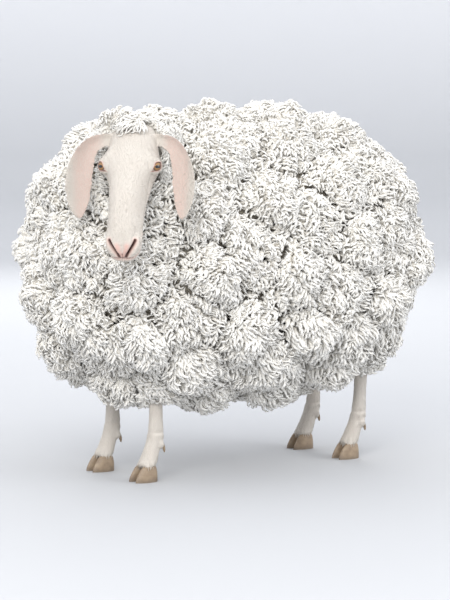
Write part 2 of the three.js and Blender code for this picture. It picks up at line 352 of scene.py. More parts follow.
def makeFibres():
    # fine lines that run along a strand: U goes round it and V along it
    values = ("Height", "Random", "Along")
    group, given, result = newGroup(
        "strandFibres", {"Around": 60.0, "Along": 6.0}, dict.fromkeys(values, "NodeSocketFloat")
    )
    parts = addParts(group, addNode(group, "UVMap", uv_map="strand").outputs["UV"])
    around = addMath(group, "MULTIPLY", parts["X"], given["Around"])
    along = addMath(group, "MULTIPLY", parts["Y"], given["Along"])
    place = addNode(group, "CombineXYZ", {"X": around, "Y": along}).outputs["Vector"]
    number = addMath(group, "FLOOR", parts["X"])  # the whole part of U numbers the strand
    group.links.new(addNoise(group, place, 1.0, 3.0), result["Height"])
    group.links.new(addMath(group, "MULTIPLY", number, 0.001), result["Random"])
    group.links.new(parts["Y"], result["Along"])
    return group


def makeGrain():
    # a fine even roughness of the surface
    group, given, result = newGroup(
        "fineGrain", {"Scale": 900.0, "Stretch": 1.0}, {"Height": "NodeSocketFloat"}
    )
    size = addNode(group, "CombineXYZ", {"X": 1.0, "Y": 1.0, "Z": given["Stretch"]}).outputs["Vector"]
    turned = addNode(group, "Mapping", {"Vector": objectPlace(group), "Scale": size}).outputs["Vector"]
    group.links.new(addNoise(group, turned, given["Scale"], 3.0), result["Height"])
    return group


softBlotches = makeBlotches()
strandFibres = makeFibres()
fineGrain = makeGrain()


def newMaterial(name, roughness, **settings):
    material = bpy.data.materials.new(name)
    material.use_nodes = True
    surface = material.node_tree.nodes["Principled BSDF"].inputs
    surface["Roughness"].default_value = roughness
    for label, value in settings.items():
        surface[label.replace("_", " ")].default_value = value
    return material, material.node_tree, surface


def addBlotches(tree, colour, second, scale, amount):
    values = {"Colour": colour, "Second": second, "Scale": scale, "Amount": amount}
    return addNode(tree, "Group", values, node_tree=softBlotches).outputs["Colour"]


def addBump(tree, surface, height, strength, distance):
    bump = addNode(tree, "Bump", {"Strength": strength, "Distance": distance, "Height": height})
    tree.links.new(bump.outputs["Normal"], surface["Normal"])


def addGrain(tree, surface, scale, stretch, distance):
    grain = addNode(tree, "Group", {"Scale": scale, "Stretch": stretch}, node_tree=fineGrain)
    addBump(tree, surface, grain.outputs["Height"], 0.5, distance)


def strandMaterial(name, look):
    material, tree, surface = newMaterial(
        name, look["roughness"], Sheen_Weight=look["sheen"], Sheen_Roughness=0.5, Specular_IOR_Level=0.25
    )
    values = {"Around": look["around"], "Along": 2.2}
    fibres = addNode(tree, "Group", values, node_tree=strandFibres).outputs
    length = addMix(tree, addRange(tree, fibres["Along"], 0.25, 0.8), look["root"], look["tip"])
    # a few strands are a little yellower or greyer than the rest
    odd = addRange(tree, fibres["Random"], 0.45, 1.0, 0.0, 0.75)
    tone = addBlotches(tree, addMix(tree, odd, length, look["other"]), look["other"], 5.0, 0.35)
    # painted shade: darker between the fibres, where shade would fall
    between = addRange(tree, fibres["Height"], 0.56, 0.38, 0.0, 0.7)
    tree.links.new(addMix(tree, between, tone, look["between"]), surface["Base Color"])
    addBump(tree, surface, fibres["Height"], look["bump"], 0.0011)
    return material


# strands: every lock and tuft is a closed tapered tube, many of them in one mesh
def strandPiece(name, lines, thickness, flatness, numbers, rootPatch, material, skinWays=None):
    # lines is (how many, points on each, 3); both ends of a strand are drawn to a point,
    # and where the skin's normals are given it lies with its flat side on the skin
    count, steps, _ = lines.shape
    sides = 3
    ways = np.empty_like(lines)
    ways[:, 1:-1] = lines[:, 2:] - lines[:, :-2]
    ways[:, 0] = lines[:, 1] - lines[:, 0]
    ways[:, -1] = lines[:, -1] - lines[:, -2]
    ways = unit(ways)
    spare = np.where(np.abs(ways[:, :1, 2:]) < 0.9, [[[0.0, 0.0, 1.0]]], [[[1.0, 0.0, 0.0]]])
    across = unit(np.cross(ways[:, 0], spare[:, 0] if skinWays is None else skinWays))
    rings = np.empty((count, steps - 2, sides, 3))
    angles = np.arange(sides) * 2.0 * math.pi / sides
    for step in range(1, steps - 1):
        way = ways[:, step]
        across = unit(flattened(across, way))
        over = np.cross(way, across)
        wide = thickness[:, step][:, None, None]
        rings[:, step - 1] = lines[:, step][:, None] + wide * (
            np.cos(angles)[None, :, None] * across[:, None] * flatness
            + np.sin(angles)[None, :, None] * over[:, None]
        )
    each = (steps - 2) * sides + 2
    places = np.empty((count, each, 3))
    places[:, 0] = lines[:, 0]
    places[:, 1:-1] = rings.reshape(count, -1, 3)
    places[:, -1] = lines[:, -1]
    faces = []
    for side in range(sides):
        following = (side + 1) % sides
        faces.append((0, 1 + following, 1 + side))
        for step in range(steps - 3):
            low = 1 + step * sides
            high = low + sides
            faces.append((low + side, low + following, high + following))
            faces.append((low + side, high + following, high + side))
        last = 1 + (steps - 3) * sides
        faces.append((last + side, last + following, each - 1))
    faces = np.array(faces)
    corners = (faces[None] + (np.arange(count) * each)[:, None, None]).reshape(-1)
    mesh = bpy.data.meshes.new(name)
    mesh.vertices.add(count * each)
    mesh.vertices.foreach_set("co", places.reshape(-1))
    mesh.loops.add(len(corners))
    mesh.loops.foreach_set("vertex_index", corners.astype(np.int32))
    total = len(corners) // 3
    mesh.polygons.add(total)
    mesh.polygons.foreach_set("loop_start", np.arange(0, total * 3, 3, dtype=np.int32))
    mesh.polygons.foreach_set("use_smooth", np.ones(total, dtype=bool))
    # each strand is one small patch at its root's place on the unwrapped skin
    roundShare = np.concatenate([[0.5], np.tile(np.linspace(0.0, 1.0, sides), steps - 2), [0.5]])
    alongShare = np.concatenate([[0.0], np.repeat(np.linspace(0, 1, steps)[1:-1], sides), [1.0]])
    patch = np.stack([roundShare - 0.5, alongShare - 0.5], axis=1) * 0.003
    bakeMap = rootPatch[:, None] + patch[None]
    strandMap = np.empty((count, each, 2))
    strandMap[:, :, 0] = numbers[:, None] + roundShare[None] * 0.98
    strandMap[:, :, 1] = alongShare[None]
    for label, values in (("OFBake", bakeMap), ("strand", strandMap)):
        layer = mesh.uv_layers.new(name=label)
        layer.data.foreach_set("uv", values.reshape(-1, 2)[corners].astype(np.float32).reshape(-1))
    mesh.update(calc_edges=True)
    mesh.validate()
    piece = bpy.data.objects.new(name, mesh)
    bpy.context.scene.collection.objects.link(piece)
    mesh.materials.append(material)
    return piece


def scattered(places, corners, spacing, chance):
    # evenly spread points on a surface, none closer to another than the spacing
    one, two, three = places[corners[:, 0]], places[corners[:, 1]], places[corners[:, 2]]
    slope = np.cross(two - one, three - one)
    areas = np.linalg.norm(slope, axis=1) / 2.0
    tries = int(areas.sum() / spacing**2 * 5.0)
    sums = np.cumsum(areas)
    chosen = np.searchsorted(sums, chance.random(tries) * sums[-1])
    first, second = chance.random(tries), chance.random(tries)
    over = first + second > 1.0
    first[over], second[over] = 1.0 - first[over], 1.0 - second[over]
    found = one[chosen] + first[:, None] * (two - one)[chosen] + second[:, None] * (three - one)[chosen]
    cell = spacing / math.sqrt(3.0)
    keys = np.floor(found / cell).astype(int)
    taken = {}
    kept = []
    reach = [
        (i, j, k) for i in (-2, -1, 0, 1, 2) for j in (-2, -1, 0, 1, 2) for k in (-2, -1, 0, 1, 2)
        if abs(i) + abs(j) + abs(k) < 6
    ]
    limit = spacing**2
    rows = found.tolist()
    for index, (x, y, z) in enumerate(keys.tolist()):
        if (x, y, z) in taken:
            continue
        px, py, pz = rows[index]
        clear = True
        for i, j, k in reach:
            other = taken.get((x + i, y + j, z + k))
            if other is not None:
                if (other[0] - px) ** 2 + (other[1] - py) ** 2 + (other[2] - pz) ** 2 < limit:
                    clear = False
                    break
        if clear:
            taken[(x, y, z)] = (px, py, pz)
            kept.append(index)
    return found[kept], unit(slope)[chosen[kept]]


def onSkinMap(places, middle, halves):
    # an even unwrap of a long round body about its length
    ways = unit((places - middle) / halves)
    turn = np.arctan2(ways[:, 1], ways[:, 2]) / (2.0 * math.pi) + 0.5
    return np.stack([turn, ways[:, 0] / 2.0 + 0.5], axis=1) * 0.99 + 0.005


report("frame loaded")

# the skin
skinSet = {
    "woolDepth": 0.064,   # from the tips of the wool in to the skin
    "bellyDepth": 0.105,  # the wool hangs longest below the belly
    "neckDepth": 0.042,
    "tailWide": [0.030, 0.017, 0.015, 0.014, 0.012, 0.009],  # from its root to its tip
    "hairDepth": 0.0014,  # from the outside of the short hair in to the skin
    "bodyCell": 0.014,    # how fine each part of the skin is
    "tailCell": 0.011,
    "headCell": 0.0026,
    "legCell": 0.0034,
    "shellCell": 0.009,   # and the outside of the wool
    "dewMound": 0.0105,   # the swelling that a dewclaw grows from
    "hemHigh": (0.078, 0.046),  # where the hem over the claws begins to widen, and where it is widest
    "hemWiden": 0.10,
    "hemDrop": 0.008,
    "neckBlend": 0.07,    # over this much the neck's depth becomes the body's
    "bellyHigh": (0.42, 0.24),  # and between these heights the body's becomes the belly's
}
eyeSet = {
    "middle": (89.0, 50.0, -22.0),  # in the head's own plan, left eye
    "radius": 15.0,
    "ahead": (0.42, 0.71, 0.56),    # where the eye looks
    "lid": 1.7,                     # how thick the lids are
    "over": 34.0,                   # degrees that the lids stand open, up and down
    "under": 27.0,
    "front": 60.0,                  # and towards the nose and the ear
    "rear": 54.0,
    "bow": (1.7, 2.4),              # how full the opening stays towards the nose and the ear
    "tearDip": 5.0,                 # and how far it dips at the nose's end
}


def eyeFrame(side):
    # middle, where it looks, along the opening towards the nose, and up; side is 1 for left
    middle = np.array(eyeSet["middle"]) * [1, side, 1]
    ahead = unit(np.array(eyeSet["ahead"]) * [1, side, 1])
    nose = np.array([0.82, 0.0, 0.40])
    nose = unit(nose - (nose @ ahead) * ahead)
    up = np.cross(ahead, nose) * side
    if up[2] < 0:
        up = -up
    return middle, ahead, nose, up


def lidDistance(local, side):
    # degrees inside the opening of the lids, and where on the eyeball the place is
    middle, ahead, nose, up = eyeFrame(side)
    way = unit(local - middle)
    forward = way @ ahead
    along = np.degrees(np.arctan2(way @ nose, np.maximum(forward, 0.05)))
    above = np.degrees(np.arctan2(way @ up, np.maximum(forward, 0.05)))
    share = np.where(along > 0, along / eyeSet["front"], along / -eyeSet["rear"])
    bow = np.clip(1.0 - np.clip(share, 0, 1) ** np.where(along > 0, *eyeSet["bow"]), 0.0, 1.0)
    dip = eyeSet["tearDip"] * np.clip(share, 0, 1) * (along > 0)
    inside = np.minimum(eyeSet["over"] * bow - dip - above, above + eyeSet["under"] * bow + dip)
    past = np.where(along > 0, eyeSet["front"] - along, eyeSet["rear"] + along)
    inside = np.minimum(inside, past)
    inside = np.where(forward > 0.15, inside, -60.0)
    turned = np.degrees(np.arccos(np.clip(forward, -1, 1)))
    return inside, above, turned, np.linalg.norm(local - middle, axis=1)


noseLines = {
    "nostril": [(267, 27, -24), (275, 24, -28), (283, 17.5, -35), (288, 11, -43), (290, 7, -49)],
    "philtrum": [(290, 0, -41), (292, 0, -48), (292, 0, -54)],
    "nosePad": [(280, 10, -27), (288, 6, -36), (291, 3, -43), (291.5, 0, -48)],
    "mouth": [
        (292, 0, -54), (290.5, 8, -56), (285, 19, -56), (273, 29, -53), (257, 35, -48), (243, 37.5, -42)
    ],
    "lowerLip": [(289, 0, -62), (286, 10, -63), (279, 20, -62), (267, 29, -59)],
    "chin": [(281, 0, -74), (274, 10, -75)],
}
noseDepth = {
    # how deep each of these lines is pressed in (below nothing it stands out), and how wide
    "nosePad": (-0.9, 5.0),
    "lowerLip": (-2.6, 5.0),
    "chin": (-2.4, 7.0),
    "philtrum": (2.6, 1.3),
}
noseSet = {
    "nostrilDeep": 12.0,
    "nostrilWide": (2.2, 1.3),   # at its ends, and how much wider in its middle
    "mouthDeep": (4.6, 1.6),     # in front, and how much shallower at its corner
    "mouthWide": 1.6,
    "upperLip": (5.0, -1.3, 4.2),  # how far above the mouth, then the same two numbers
    "mouthCorner": ((238, 38, -46), -1.4, 5.0),
}
faceLines = {
    # more lines of one side of the face, with the same two numbers
    "wing": ([(262, 31, -28), (274, 30, -35), (284, 24, -44)], -2.6, 4.8),
    "innerWing": ([(270, 19, -20), (280, 14, -28), (286, 9, -36)], -1.2, 4.0),
    "tear": ([(108, 45, -28), (122, 43, -36), (138, 41, -42)], 2.6, 5.0),
    "ridge": ([(100, 57, -46), (140, 48, -52), (190, 40, -56)], -1.6, 7.0),
    "bridge": ([(130, 17, 8), (190, 15, 8), (245, 14, -8)], -1.2, 7.0),
    "flank": ([(140, 34, -14), (200, 30, -18), (250, 27, -24)], 1.5, 8.0),
    "jaw": ([(150, 40, -76), (190, 36, -76), (228, 34, -72)], 1.3, 5.0),
    "frontFold": ([(232, 38, -42), (224, 38, -60)], 0.8, 2.4),
    "rearFold": ([(221, 38, -38), (212, 38, -58)], 0.8, 2.4),
    "brow": ([(66, 38, 1), (80, 50, 1), (96, 53, -4)], -2.2, 6.0),
    "temple": ([(40, 46, -14), (58, 56, -26)], 2.0, 9.0),
}


def mirrored(path, side):
    return [(x, y * side, z) for x, y, z in path]


def laidOn(tree, path):
    # a path in the head's plan with more points, each put on the surface
    path = np.asarray(path, float)
    stops = np.linspace(0, len(path) - 1, 4 * (len(path) - 1) + 1)
    dense = np.stack([np.interp(stops, np.arange(len(path)), path[:, axis]) for axis in range(3)], axis=1)
    return toHead(nearest(tree, fromHead(dense))[0])


def buildHead():
    head = rounded(copyOf(["head"], "headSkin"), 2)
    ears = [rounded(copyOf([name], "earSkin"), 2) for name in earSides]
    lids = []
    for side in (1, -1):
        lids.append(added(
            bpy.ops.mesh.primitive_uv_sphere_add, segments=48, ring_count=24,
            radius=(eyeSet["radius"] + 1.2) * headSet["unit"], location=fromHead(eyeFrame(side)[0]),
        ))
    head = joined([head] + ears + lids)
    remeshed(head, skinSet["headCell"], 0.5, 9)
    setPoints(head, pointsOf(head) - normalsOf(head) * skinSet["hairDepth"] * 0.6)

    def nearEye(places, reach):
        eyes = [fromHead(eyeFrame(side)[0]) for side in (1, -1)]
        return np.any([np.linalg.norm(places - eye, axis=1) < reach for eye in eyes], axis=0)

    # finer at the nose and the eyes, and finer still at the lids
    subdivideWhere(head, lambda places: (toHead(places)[:, 0] > 228) | nearEye(places, 0.034))
    subdivideWhere(head, lambda places: nearEye(places, 0.0215))
    shape(head, "SMOOTH", factor=0.4, iterations=3)
    return head


def carveHead(head):
    local = toHead(pointsOf(head))
    ways = normalsOf(head) @ headAxis.T
    move = np.zeros_like(local)
    tree = treeOf(head)
    laid = {name: laidOn(tree, path) for name, path in noseLines.items()}
    marks = {
        name: np.min([toPath(local, mirrored(laid[name], side))[0] for side in (1, -1)], axis=0)
        for name in ("nostril", "mouth", "nosePad", "philtrum")
    }

    def press(amount, away, width):
        move[:] -= ways * (amount * np.exp(-(away / width) ** 2))[:, None]

    lines = [(laid[name], *noseDepth[name]) for name in ("nosePad", "lowerLip", "chin")]
    above, depth, width = noseSet["upperLip"]
    lines.append((laid["mouth"] + [0.0, 0.0, above], depth, width))
    lines += faceLines.values()
    nostrilWide, wider = noseSet["nostrilWide"]
    mouthDeep, shallower = noseSet["mouthDeep"]
    for side in (1, -1):
        own = local[:, 1] * side > -1.5
        nostril, share = toPath(local, mirrored(laid["nostril"], side))
        depth = noseSet["nostrilDeep"] * np.sin(np.pi * np.clip(0.14 + share * 0.78, 0, 1))
        press(depth * own, nostril, nostrilWide + wider * np.sin(np.pi * share))
        mouth, share = toPath(local, mirrored(laid["mouth"], side))
        press((mouthDeep - shallower * share) * own, mouth, noseSet["mouthWide"])
        for path, depth, width in lines:
            press(depth * own, toPath(local, mirrored(path, side))[0], width)
        corner, depth, width = noseSet["mouthCorner"]
        press(depth * own, np.linalg.norm(local - mirrored([corner], side)[0], axis=1), width)
    depth, width = noseDepth["philtrum"]
    press(depth, toPath(local, laid["philtrum"])[0], width)
    local = local + move

    for side in (1, -1):
        middle = eyeFrame(side)[0]
        inside, above, turned, away = lidDistance(local, side)
        radius = eyeSet["radius"]
        edge = radius + eyeSet["lid"]
        near = away < radius * 1.75
        # the lids wrap the eyeball, and the brow and cheek run up to them
        wrapped = edge + 0.045 * np.clip(turned - 42.0, 0, 60) * (1.0 + 0.5 * (above > 0))
        onLid = 1.0 - smoothStep(60.0, 88.0, turned)
        pulled = np.maximum(wrapped, np.minimum(away, wrapped + 2.5)) - away
        outer = np.where(near, away + pulled * onLid, away)
        outer -= np.exp(-((inside + 12.0 - 1.5 * np.sin(above * 0.2)) / 2.6) ** 2) * onLid * (above > 0)
        outer += np.exp(-((inside + 4.5) / 4.0) ** 2) * 0.45 * onLid
        outer -= np.exp(-((inside + 10.0) / 2.6) ** 2) * 0.6 * onLid * (above <= 0)
        outer -= np.exp(-((inside + 19.0) / 3.0) ** 2) * 0.5 * onLid
        opened = smoothStep(-1.2, 3.4, inside)
        target = outer + (radius - 2.6 - outer) * opened
        use = near & (turned < 100)
        way = unit(local - middle)
        local = np.where(use[:, None], middle + way * target[:, None], local)
    setPoints(head, fromHead(local))
    return marks


def stub(start, end, wide, narrow):
    # a plain root inside the wool that ties a limb to the body
    start, end = Vector(start), Vector(end)
    return added(
        bpy.ops.mesh.primitive_cone_add, vertices=32, radius1=wide, radius2=narrow,
        depth=(end - start).length, location=(start + end) / 2,
        rotation=(end - start).to_track_quat("Z", "Y").to_euler(),
    )


def buildLegs():
    legs = []
    for leg, upper in zip(legNames, upperNames):
        names = (upper, f"{leg}_cannon", f"{leg}_pastern")
        parts = [rounded(copyOf([name], "legSkin"), 1) for name in names]
        low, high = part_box(upper)
        middle = (low + high) / 2
        wide = min(high.x - low.x, high.y - low.y) / 2
        top = (middle.x, middle.y * 0.9, high.z + 0.14)
        parts.append(stub((middle.x, middle.y, high.z - 0.05), top, wide * 0.86, wide * 1.1))
        for place in ("outer", "inner"):
            clawLow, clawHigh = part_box(f"{leg}_dewclaw_{place}")
            root = Vector((clawLow.x - 0.004, (clawLow.y + clawHigh.y) / 2, clawHigh.z - 0.006))
            parts.append(added(
                bpy.ops.mesh.primitive_uv_sphere_add, segments=24, ring_count=12,
                radius=skinSet["dewMound"], location=root,
            ))
        legs.append(joined(parts))
    legs = joined(legs)
    remeshed(legs, skinSet["legCell"], 0.5, 9)
    places = pointsOf(legs) - normalsOf(legs) * skinSet["hairDepth"] * 0.5
    # the hem of the skin widens and hangs over the tops of the claws
    for leg in legNames:
        low, high = (np.array(corner)[:2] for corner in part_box(f"{leg}_pastern"))
        own = np.all((places[:, :2] > low - 0.03) & (places[:, :2] < high + 0.03), axis=1)
        hem = smoothStep(*skinSet["hemHigh"], places[:, 2]) * own
        foot = places[own & (places[:, 2] < 0.055)][:, :2]
        middle = (foot.min(axis=0) + foot.max(axis=0)) / 2
        places[:, :2] += (places[:, :2] - middle) * (skinSet["hemWiden"] * hem)[:, None]
        places[:, 2] -= skinSet["hemDrop"] * hem
    setPoints(legs, places)
    return legs


def buildTail():
    # a thin tail down the middle of its wool, and its root in the rump
    low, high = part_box("tail")
    places = pointsOf(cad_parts["tail"])
    levels = np.linspace(high.z - 0.06, low.z + 0.03, len(skinSet["tailWide"]) - 1)
    line = [places[np.abs(places[:, 2] - level) < 0.035].mean(axis=0) for level in levels]
    line = [np.array([low.x - 0.09, line[0][1], levels[0]])] + line
    wide = skinSet["tailWide"]
    return [stub(line[i], line[i + 1], wide[i], wide[i + 1]) for i in range(len(wide) - 1)]


def buildBody():
    body = copyOf(["trunk", "neck", "head"], "skin")
    remeshed(body, skinSet["bodyCell"], 0.6, 24)
    # the wool thins towards the head
    places = pointsOf(body)
    fromNeck, fromHeadSolid = (np.abs(awayFrom(name, places)) for name in ("neck", "head"))
    share = smoothStep(0.0, skinSet["neckBlend"], fromNeck)
    share = np.minimum(share, smoothStep(0.004, 0.02, fromHeadSolid))
    low = smoothStep(*skinSet["bellyHigh"], places[:, 2])
    full = skinSet["woolDepth"] + (skinSet["bellyDepth"] - skinSet["woolDepth"]) * low
    depth = skinSet["neckDepth"] + (full - skinSet["neckDepth"]) * share
    strides = 6
    for _ in range(strides):
        setPoints(body, pointsOf(body) - normalsOf(body) * depth[:, None] / strides)
        shape(body, "SMOOTH", factor=0.4, iterations=3)
    body = joined([body] + buildTail())
    remeshed(body, skinSet["tailCell"], 0.5, 6)
    return body


headSkin = buildHead()
headMarks = carveHead(headSkin)
headCorners = pointsOf(headSkin)
report(f"head skin made, {len(headSkin.data.polygons)} faces")
legSkin = buildLegs()
skin = buildBody()
for limb in (headSkin, legSkin):
    shape(skin, "BOOLEAN", operation="UNION", solver="MANIFOLD", object=limb)
    bpy.data.objects.remove(limb)
skin.name = "skin"
pick(skin)
bpy.ops.object.shade_smooth()
report(f"skin joined, {len(skin.data.polygons)} faces, {len(trianglesOf(skin))} triangles")

# the outside of the wool, one closed surface
shell = copyOf(["trunk", "neck", "topknot", "tail"], "shell")
remeshed(shell, skinSet["shellCell"], 0.5, 10)
shellTree = treeOf(shell)
skinTree = treeOf(skin)
report("wool's outside made")


pinkLines = {"nosePad": (0.78, 7.0), "nostril": (0.78, 5.5), "mouth": (0.62, 5.0)}  # how pink, how wide
shadeLines = {
    # painted shade in the nostrils, between the lips and in the philtrum's groove: how dark, and from how
    # far to how near
    "nostril": (0.97, 4.4, 2.0),
    "mouth": (0.80, 2.2, 0.7),
    "philtrum": (0.45, 1.6, 0.4),
}


def markSkin():
    # red: bare pink skin; green: dark, as painted shade in the nostrils, between the lips and in the
    # philtrum's groove, and on the dark rims of the lids; blue: under the wool
    places = pointsOf(skin)
    local = toHead(places)
    onHead = (np.abs(local[:, 1]) < 75) & (local[:, 0] > -60) & (local[:, 0] < 320)
    onHead &= np.abs(local[:, 2] + 50) < 110
    # distances from the lines of the nose, as they were before the skin was pressed in there
    finder = finderOf(headCorners)
    lines = {name: np.full(len(places), 99.0) for name in headMarks}
    for index in np.nonzero(onHead)[0]:
        _, own, gap = finder.find(places[index])
        if gap < 0.002:
            for name, values in headMarks.items():
                lines[name][index] = values[own]
    pink = np.max([
        amount * np.exp(-(lines[name] / width) ** 2) for name, (amount, width) in pinkLines.items()
    ], axis=0)
    # painted shade in the nostrils, the mouth's slit and the philtrum's groove
    dark = np.max([
        amount * smoothStep(far, near, lines[name]) for name, (amount, far, near) in shadeLines.items()
    ], axis=0)
    bare = np.maximum(smoothStep(7.0, 4.5, lines["nostril"]), smoothStep(4.5, 3.0, lines["mouth"]))
    for side in (1, -1):
        inside, _, turned, away = lidDistance(local, side)
        near = (away < 26) & (turned < 80)
        pink = np.maximum(pink, 0.75 * np.exp(-((inside + 3.0) / 6.0) ** 2) * near)
        dark = np.maximum(dark, 0.85 * smoothStep(-3.4, -0.4, inside) * near)
    _, _, outside = nearest(shellTree, places)
    under = 1.0 - smoothStep(-0.012, -0.001, outside)
    onTrunk = (np.abs(awayFrom("head", places)) > 0.025) & (places[:, 2] > 0.30) & (local[:, 0] < 60)
    for name in earSides:
        onTrunk &= ~inBoxOf(name, places, 0.004)
    under[onTrunk] = 1.0
    pink *= onHead
    dark *= onHead
    # the inside of each ear, which faces ahead and towards the face
    ways = normalsOf(skin)
    turn = math.radians(32)
    for name, side in earSides.items():
        inBox = inBoxOf(name, places, 0.002) & (local[:, 1] * side > 50)
        inner = faceAhead * math.cos(turn) - headAxis[1] * side * math.sin(turn)
        facing = smoothStep(0.35, 0.9, ways @ inner)
        # palest along the rim, pink in the hollow
        across = np.cross([0.0, 0.0, 1.0], inner)
        span = places @ across
        middle = (span[inBox].min() + span[inBox].max()) / 2
        half = (span[inBox].max() - span[inBox].min()) / 2
        hollow = 1.0 - smoothStep(0.35, 0.8, np.abs(span - middle) / half)
        pink = np.maximum(pink, 0.42 * facing * hollow * inBox)
    layer = skin.data.attributes.new("skinTone", "FLOAT_COLOR", "POINT")
    colours = np.stack([pink, dark, under, np.ones(len(places))], axis=1)
    layer.data.foreach_set("color", colours.astype(np.float32).reshape(-1))
    return pink, np.maximum(dark, bare), outside


pinkMark, bareMark, outsideWool = markSkin()


skinColours = {
    "skin": (0.61, 0.565, 0.505, 1),
    "skinSecond": (0.56, 0.50, 0.44, 1),
    "flesh": (0.63, 0.385, 0.325, 1),
    "fleshSecond": (0.53, 0.29, 0.245, 1),
    # painted shade in the nostrils, the mouth and the philtrum's groove, and the dark rims of the lids
    "dark": (0.075, 0.035, 0.03, 1),
    # the skin under the wool, darker than the wool as painted shade where gaps open between the locks
    "shadedUnderWool": (0.64, 0.59, 0.50, 1),
}


def skinMaterial():
    material, tree, surface = newMaterial(
        "shortHairedSkin", 0.62, Sheen_Weight=0.1, Sheen_Roughness=0.4, Specular_IOR_Level=0.2
    )
    tone = addNode(tree, "Attribute", attribute_name="skinTone").outputs["Color"]
    marks = addNode(tree, "SeparateColor", {"Color": tone}).outputs
    base = addBlotches(tree, skinColours["skin"], skinColours["skinSecond"], 26.0, 0.5)
    flesh = addBlotches(tree, skinColours["flesh"], skinColours["fleshSecond"], 90.0, 0.6)
    base = addMix(tree, marks["Red"], base, flesh)
    # painted shade in the nostrils, the mouth and the philtrum's groove, and the dark rims of the lids
    base = addMix(tree, marks["Green"], base, skinColours["dark"])
    # under the wool: skin darker than the wool, as painted shade in the gaps between the locks
    base = addMix(tree, marks["Blue"], base, skinColours["shadedUnderWool"])
    tree.links.new(base, surface["Base Color"])
    wet = addRange(tree, marks["Red"], 0.0, 1.0, 0.85, 0.42)
    tree.links.new(wet, surface["Roughness"])
    addGrain(tree, surface, 900.0, 0.35, 0.0006)
    return material


skin.data.materials.clear()
skin.data.materials.append(skinMaterial())
report("skin coloured")

# the eyes
irisSet = {
    "iris": 40.0,       # degrees from the middle of the eye to the rim of the iris
    "cornea": 1.3,      # how far the clear front bulges
    "pupilLong": 0.70,  # shares of the iris
    "pupilHigh": 0.32,
    "dark": (0.13, 0.055, 0.014, 1),
    "light": (0.42, 0.22, 0.06, 1),
    "rimColour": (0.035, 0.018, 0.010, 1),
    "white": (0.55, 0.42, 0.34, 1),
    "pupilColour": (0.004, 0.004, 0.006, 1),
}


def eyeMaterial():
    material, tree, surface = newMaterial(
        "eye", 0.25, Coat_Weight=1.0, Coat_Roughness=0.03, Coat_IOR=1.38, Specular_IOR_Level=0.5
    )
    look = addNode(tree, "UVMap", uv_map="iris").outputs["UV"]
    parts = addParts(tree, look)
    span = addNode(tree, "VectorMath", {0: look}, operation="LENGTH").outputs["Value"]
    # streaks that run out from the pupil
    turn = addMath(tree, "ARCTAN2", parts["Y"], parts["X"])
    spread = addNode(tree, "CombineXYZ", {"X": turn, "Y": span}).outputs["Vector"]
    ramp = addNode(tree, "ValToRGB", {"Fac": addNoise(tree, spread, 7.0, 5.0)})
    for end, (position, colour) in enumerate(((0.3, irisSet["dark"]), (0.75, irisSet["light"]))):
        ramp.color_ramp.elements[end].position = position
        ramp.color_ramp.elements[end].color = colour
    iris = addMix(tree, addRange(tree, span, 0.78, 1.0), ramp.outputs["Color"], irisSet["rimColour"])
    ball = addMix(tree, addRange(tree, span, 1.0, 1.12), iris, irisSet["white"])
    # the level pupil: a bar with rounded ends
    powers = []
    for label, size in (("X", irisSet["pupilLong"]), ("Y", irisSet["pupilHigh"])):
        share = addMath(tree, "ABSOLUTE", addMath(tree, "DIVIDE", parts[label], size))
        powers.append(addMath(tree, "POWER", share, 3.0))
    bar = addRange(tree, addMath(tree, "ADD", *powers), 1.25, 0.85)
    tree.links.new(addMix(tree, bar, ball, irisSet["pupilColour"]), surface["Base Color"])
    return material


def buildEye(name, side):
    middle, ahead, _, _ = eyeFrame(side)
    centre = fromHead(middle)
    look = unit(ahead @ headAxis)
    radius = eyeSet["radius"] * headSet["unit"]
    eye = added(bpy.ops.mesh.primitive_uv_sphere_add, segments=64, ring_count=40, radius=radius)
    eye.name = eye.data.name = name
    # the pole of the ball is turned to where it looks, then the clear front is drawn out
    turn = np.array(Vector((0, 0, 1)).rotation_difference(Vector(look)).to_matrix())
    places = pointsOf(eye) @ turn.T
    forward = unit(places) @ look
    degrees = np.degrees(np.arccos(np.clip(forward, -1, 1)))
    bulge = irisSet["cornea"] * headSet["unit"] * (1.0 - smoothStep(8.0, irisSet["iris"] + 4.0, degrees))
    places += unit(places) * bulge[:, None]
    setPoints(eye, places + centre)
    # the eye's own map: level across, upright, 1 at the rim of the iris
    level = unit(np.cross([0.0, 0.0, 1.0], look))
    upright = np.cross(look, level)
    rim = math.sin(math.radians(irisSet["iris"])) * radius
    flat = np.stack([places @ level, places @ upright], axis=1) / rim
    flat = np.where((forward < 0)[:, None], flat * 3.0 + 3.0, flat)
    for layer in list(eye.data.uv_layers):
        eye.data.uv_layers.remove(layer)
    corners = np.empty(len(eye.data.loops), dtype=np.int32)
    eye.data.loops.foreach_get("vertex_index", corners)
    layer = eye.data.uv_layers.new(name="iris")
    layer.data.foreach_set("uv", flat[corners].astype(np.float32).reshape(-1))
    pick(eye)
    bpy.ops.object.shade_smooth()
    return eye


eyeLook = eyeMaterial()
for name, side in (("eye_left", 1), ("eye_right", -1)):
    eye = buildEye(name.replace("eye", "eyeball"), side)
    eye.data.materials.clear()
    eye.data.materials.append(eyeLook)
    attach(eye, "root")
    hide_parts(name)
report("eyes made")

# the claws
hoofSet = {
    "cell": 0.0018,
    "dewCell": 0.0013,
    "ringGap": 0.0050,      # the rings of growth round a claw
    "ringDepth": 0.00030,
    "spare": 0.006,         # drawn down past the floor before the sole is cut
    "pinch": 0.30,          # how much narrower at the toe
    "dewLong": 0.8,         # a dewclaw's length as a share of its solid's
    "dewBack": 0.006,       # and how far it is set into the leg
    "colour": (0.34, 0.255, 0.17, 1),
    "second": (0.20, 0.14, 0.092, 1),
    # the darker colour towards the floor
    "nearSole": (0.15, 0.115, 0.085, 1),
}


